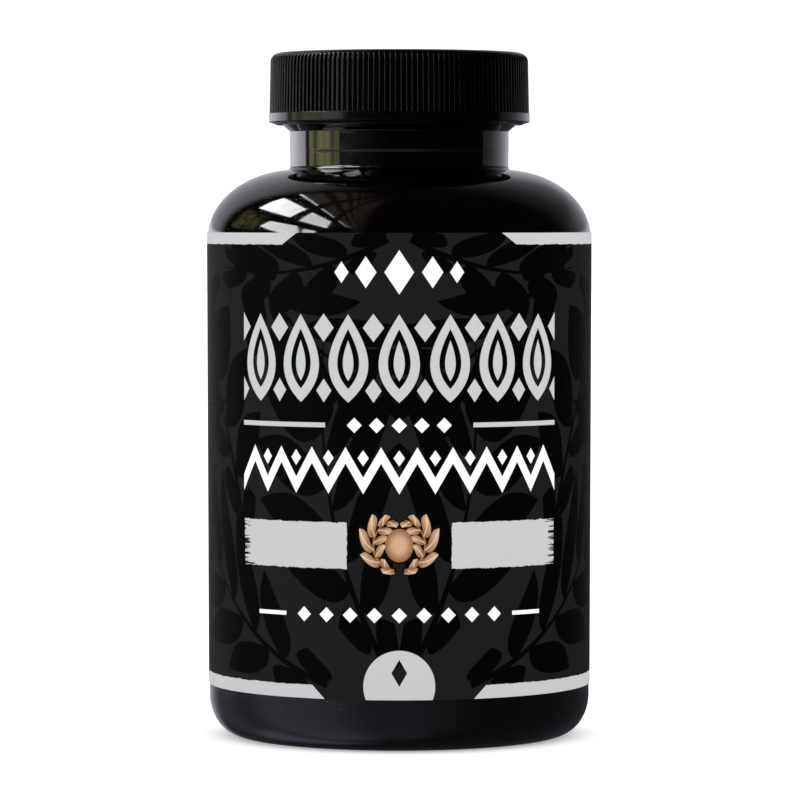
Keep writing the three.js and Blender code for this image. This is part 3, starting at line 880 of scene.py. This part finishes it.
# ------------------------- operators
class MakeBottle(bpy.types.Operator):
    """Turn the bottle and wind its thread"""

    bl_idname = "capsule_bottle.make_bottle"
    bl_label = "Bottle"

    def execute(self, context):
        project = context.scene.capsule_bottle
        b = project.bottle
        gloss = moulded_gloss(project.colours)
        shell = revolved(bottle_outline(b), TURNED_COLUMNS)
        add_piece("bottle_shell", [skin(shell)], "bottle", "bottle_plastic", gloss, "bottle")
        thread = thread_rows(b.finish_radius - THREAD_SINK, b.thread_radius,
                             (b.thread_root, b.thread_crest), b.thread_low, b.thread_turns)
        add_piece("bottle_thread", [skin(thread)], "bottle", "bottle_plastic", gloss)
        return {"FINISHED"}


class MakeCap(bpy.types.Operator):
    """Turn the cap with its ribs and wind its thread"""

    bl_idname = "capsule_bottle.make_cap"
    bl_label = "Cap"

    def execute(self, context):
        project = context.scene.capsule_bottle
        b, c = project.bottle, project.cap
        satin = moulded_satin(project.colours)
        add_piece("cap_shell", [skin(cap_rows(c))], "cap", "cap_plastic", satin, "cap",
                  sharp=55.0)
        half_widths = (bottle_thread_width(b, c.thread_radius) + CAP_THREAD_CREST) / 2
        thread = thread_rows(c.bore + THREAD_SINK, c.thread_radius,
                             (CAP_THREAD_ROOT, CAP_THREAD_CREST),
                             b.thread_low - half_widths - THREAD_GAP, c.thread_turns)
        add_piece("cap_thread", [skin(thread)], "cap", "cap_plastic", satin)
        return {"FINISHED"}


class MakeLiner(bpy.types.Operator):
    """Cut the sealing liner, a disc with rounded edges"""

    bl_idname = "capsule_bottle.make_liner"
    bl_label = "Liner"

    def execute(self, context):
        project = context.scene.capsule_bottle
        c, low = project.cap, project.bottle.rim + REST_GAP
        soft = 0.2 * MM
        outline = np.concatenate((
            line((0.1 * c.liner_radius, low), (c.liner_radius - soft, low), 6),
            arc((c.liner_radius - soft, low + soft), (soft, soft), -1, 0, 5),
            arc((c.liner_radius - soft, low + c.liner_thickness - soft), (soft, soft), 0, 1, 5),
            line((c.liner_radius - soft, low + c.liner_thickness),
                 (0.0, low + c.liner_thickness), 6)[1:],
        ))
        add_piece("liner_disc", [skin(revolved(outline, LINER_COLUMNS))], "liner",
                  "liner_board", liner_board(project.colours), "liner")
        return {"FINISHED"}


class MakeLabel(bpy.types.Operator):
    """Wrap the printed label round the panel"""

    bl_idname = "capsule_bottle.make_label"
    bl_label = "Label"

    def execute(self, context):
        project = context.scene.capsule_bottle
        s = project.label
        rows, spots = label_rows(project.bottle, s, LABEL_STEPS)
        points = rows.shape[1]
        outer = points // 2
        shares = np.concatenate((np.linspace(0.0, 0.94, outer), np.linspace(0.945, 0.995, outer),
                                 [1.0]))
        ends = np.stack((spots[0].mean(0), spots[-1].mean(0)))
        spots = np.concatenate((spots.reshape(-1, 2), ends)) / PRINT_UNIT
        add_piece("label_wrap", [skin(rows, across=shares)], "bottle", "label_film",
                  printed_film(project.colours, s), "label", sharp=25.0,
                  point_map=("print", spots))
        return {"FINISHED"}


class MakeFill(bpy.types.Operator):
    """Pile the capsules inside the bottle"""

    bl_idname = "capsule_bottle.make_fill"
    bl_label = "Capsules"

    def execute(self, context):
        project = context.scene.capsule_bottle
        f = project.fill
        middles, directions = capsule_places(f)
        one = revolved(capsule_outline(f), CAPSULE_SIDES)
        up = np.array((0.0, 0.0, 1.0))
        surfaces = []
        for index, (middle, direction) in enumerate(zip(middles, directions)):
            first = np.cross(up, direction)
            first /= np.linalg.norm(first)
            second = np.cross(direction, first)
            rows = (middle + one[..., :1] * first + one[..., 1:2] * second
                    + one[..., 2:] * direction)
            row, column = divmod(index, TILE_COLUMNS)
            tile = (column / TILE_COLUMNS, row / (len(middles) / TILE_COLUMNS),
                    1 / TILE_COLUMNS, TILE_COLUMNS / len(middles))
            surfaces.append(skin(rows, tile))
        pile = add_piece("capsule_pile", surfaces, "bottle", "capsule_shell",
                         capsule_gelatin(project.colours), "capsules")
        half = np.repeat(np.arange(len(one)) >= CAPSULE_BODY_RINGS, CAPSULE_SIDES)
        half = np.tile(np.concatenate((half, (0.0, 1.0))), len(middles))
        layer = pile.data.attributes.new("half", "FLOAT", "POINT")
        layer.data.foreach_set("value", half.astype(np.float32))
        return {"FINISHED"}


def room_light():
    """What the gloss reflects, by the direction it comes from: a white wall behind, brighter on
    the left, a garden window low on the left with glass roof panes above it, and a dim room.
    Angles are in degrees: turn goes from the camera's side to the left, rise upwards."""
    f = Finish("room light", "ShaderNodeEmission")
    unit = f.node("ShaderNodeVectorMath", {"operation": "NORMALIZE"},
                  {0: f.place()}).outputs[0]
    x, y, z = f.parts(unit)
    left = -x
    degree = 180 / math.pi
    turn = f.sum("ARCTAN2", left, -y) * degree
    rise = f.sum("ARCSINE", z) * degree
    from_front = abs(turn)

    above = rise.eased(3, 6)
    below = rise.eased(-3, -6)
    level = (1.0 - above) * (1.0 - below)

    # The wall behind
    wall_left = turn.eased(115.5, 118)
    wall_right = turn.eased(-98, -100)
    near_right = turn.eased(-100, -150)
    wall_level = (wall_left * (2.5 - turn.eased(132, 178) * 1.9)
                  + wall_right * (0.23 + near_right * 0.8 - turn.eased(-150, -178) * 0.43))
    # Dimmer where the right shoulder sees it
    dusk = turn.eased(-172, -160) * turn.eased(-118, -132) * rise.eased(14, 24)
    wall_above = rise.eased(78, 34) * (
        turn.eased(128, 142) * 0.66 + turn.eased(-104, -176) * (0.62 - dusk * 0.28))
    leftness = left / f.sum("SQRT", x * x + y * y)
    wall_below = (turn.eased(136, 168) * leftness.eased(0, 0.25)
                  * rise.eased(-22, -8) * 0.58)
    wall = wall_level * level + wall_above * above + wall_below * below

    # The window at the side
    leaves = f.noise(unit, 9.0, 5.0, 0.7)
    garden = f.ramp(leaves, 0.32, 0.66)
    window = turn.eased(65, 67) * turn.eased(111, 109) * level * (0.3 + garden * 2.1)
    hedge = (turn.eased(92, 104) * turn.eased(127, 118)
             * rise.eased(10, 15) * rise.eased(34, 27) * garden * 0.8)
    green = window + hedge

    # Glass roof, laid out on the upright plane at the left: across it and up it
    across, up = y / left, z / left
    rail = 1.26 + across * 0.27 - across * across * 0.085
    upward = up / rail
    left_side = left.eased(0.12, 0.16)
    soft = 0.012
    panes = sum(f.least(*edges).eased(0, soft) * shine for shine, *edges in (
        (17.0, 0.30 + upward * 0.38 - across, across + 0.20, 1.0 - upward, upward - 0.59),
        (13.0, -0.385 - across, across + 1.0, 1.0 - upward, upward - 0.57),
        (14.0, 0.24 - upward * 0.57 - across, across + 0.61 - upward * 0.4, 0.40 - upward,
         upward - 0.215 - across * 0.333),
        (12.0, -0.56 - across, across + 0.80, 0.34 - upward, upward - 0.05),
        (8.0, 1.325 - upward, upward - 1.26, 0.78 - across, across + 1.6,
         abs(across + 0.28) - 0.1, abs(across + 1.05) - 0.1),
    ))
    clouds = 0.75 + f.noise(unit, 4.0, 3.0) * 0.5
    panes = panes * left_side * above * clouds

    # The dim room: timber ceiling on the left, daylight on the table, near black on the right
    beams = f.most(0.15 - abs(repeated(f, upward, 0.72, 0.46)), 0.12 - abs(across + 0.28),
                   0.1 - abs(across + 1.05))
    ceiling = (turn.eased(18, 32) * turn.eased(134, 118) * above
               * upward.eased(1.3, 1.36) * rise.eased(88, 64)
               * (0.07 + f.ramp(beams, -0.03, 0.03, 0.27, 0.0) * (0.6 + leaves * 0.8)))
    back_fade = from_front.eased(160, 124)
    table = below * (0.05 + back_fade * rise.eased(-88, -64) * (
        turn.eased(-58, -4) * 0.20 + turn.eased(12, 56) * 0.38 - turn.eased(80, 112) * 0.40
        + turn.eased(95, 120) * rise.eased(-34, -46) * 0.35))
    side = level * turn.eased(5, 60) * 0.12
    gloom = 0.014
    dim = gloom + side + table

    strength = wall + green + panes + ceiling + dim
    hue = (0.92, 0.91, 1.0)
    for part, tint in ((green, (0.92, 0.93, 0.42)), (gloom, (1.0, 0.5, 0.5)),
                       (ceiling, (1.0, 0.82, 0.66)), (table, (0.83, 0.80, 1.0)),
                       (panes, (0.95, 0.98, 1.0))):
        hue = f.mix(part / strength, hue, tint)
    f.set("Color", hue)
    f.set("Strength", strength)
    return f.material


def room(material):
    """A sphere round the bottle that only reflections see."""
    v = np.linspace(0, math.pi, ROOM_RINGS)[1:-1]
    rows = revolved(np.column_stack((ROOM_RADIUS * np.sin(v), ROOM_RADIUS * np.cos(v))),
                    ROOM_COLUMNS)
    piece = put_mesh("room", [skin(rows)], sharp=180.0)
    piece.data.materials.append(material)
    for kind in ("camera", "diffuse", "shadow", "transmission", "volume_scatter"):
        setattr(piece, "visible_" + kind, False)


class MakeStage(bpy.types.Operator):
    """Set the floor, the light, what the gloss reflects and the camera"""

    bl_idname = "capsule_bottle.make_stage"
    bl_label = "Stage"

    def execute(self, context):
        scene = context.scene
        s = scene.capsule_bottle.stage
        scene.view_settings.view_transform = "Standard"

        # Pale floor
        f = Finish("studio floor", Roughness=0.9, Specular_IOR_Level=0.0,
                   Emission_Color=(1.0, 1.0, 1.0), Emission_Strength=0.35)
        f.set("Base Color", f.mix(f.noise(f.place(), 8.0), (0.86,) * 3, (0.88,) * 3))
        ring = revolved(np.array([(FLOOR_RADIUS, -FLOOR_DROP)]), FLOOR_SIDES)[0]
        mesh = bpy.data.meshes.new("studio_floor")
        mesh.from_pydata(ring.tolist(), [], [list(range(FLOOR_SIDES))])
        mesh.materials.append(f.material)
        floor = put_object("studio_floor", mesh)
        floor.visible_glossy = False

        # Even light from all round, left out of the gloss
        world = bpy.data.worlds.new("studio_light")
        scene.world = world
        world.use_nodes = True
        back = world.node_tree.nodes["Background"]
        back.inputs["Color"].default_value = (1.0, 1.0, 1.0, 1.0)
        back.inputs["Strength"].default_value = s.daylight
        world.cycles_visibility.glossy = False

        # What the gloss sees
        room(room_light())

        camera = bpy.data.cameras.new("camera")
        camera.sensor_width, camera.lens = 36.0, s.lens
        camera.clip_start, camera.clip_end = 0.05, 50.0
        eye = put_object("camera", camera)
        eye.location = (s.camera_side, -s.camera_distance, s.camera_height)
        eye.rotation_euler = (math.pi / 2 - s.camera_pitch, 0.0, 0.0)
        scene.camera = eye
        return {"FINISHED"}


class BottlePanel(bpy.types.Panel):
    """Lists the sizes, the colours and the pieces of the bottle"""

    bl_idname = "VIEW3D_PT_capsule_bottle"
    bl_label = "Capsule bottle"
    bl_space_type = "VIEW_3D"
    bl_region_type = "UI"
    bl_category = "Bottle"

    def draw(self, context):
        project = context.scene.capsule_bottle
        for part in BottleProject.__annotations__:
            group, section = getattr(project, part), self.layout.box()
            for name in group.__annotations__:
                section.prop(group, name)
        for operator in MAKERS:
            self.layout.operator(operator.bl_idname)


MAKERS = (MakeStage, MakeBottle, MakeCap, MakeLiner, MakeLabel, MakeFill)
CLASSES = (BottleSizes, CapSizes, LabelSizes, FillSizes, Colours, StageSettings, BottleProject,
           *MAKERS, BottlePanel)


def register():
    for kind in CLASSES:
        bpy.utils.register_class(kind)
    bpy.types.Scene.capsule_bottle = bpy.props.PointerProperty(type=BottleProject)


def unregister():
    del bpy.types.Scene.capsule_bottle
    for kind in reversed(CLASSES):
        bpy.utils.unregister_class(kind)


def main():
    register()
    for operator in MAKERS:
        group, name = operator.bl_idname.split(".")
        getattr(getattr(bpy.ops, group), name)()


if __name__ == "__main__":
    main()
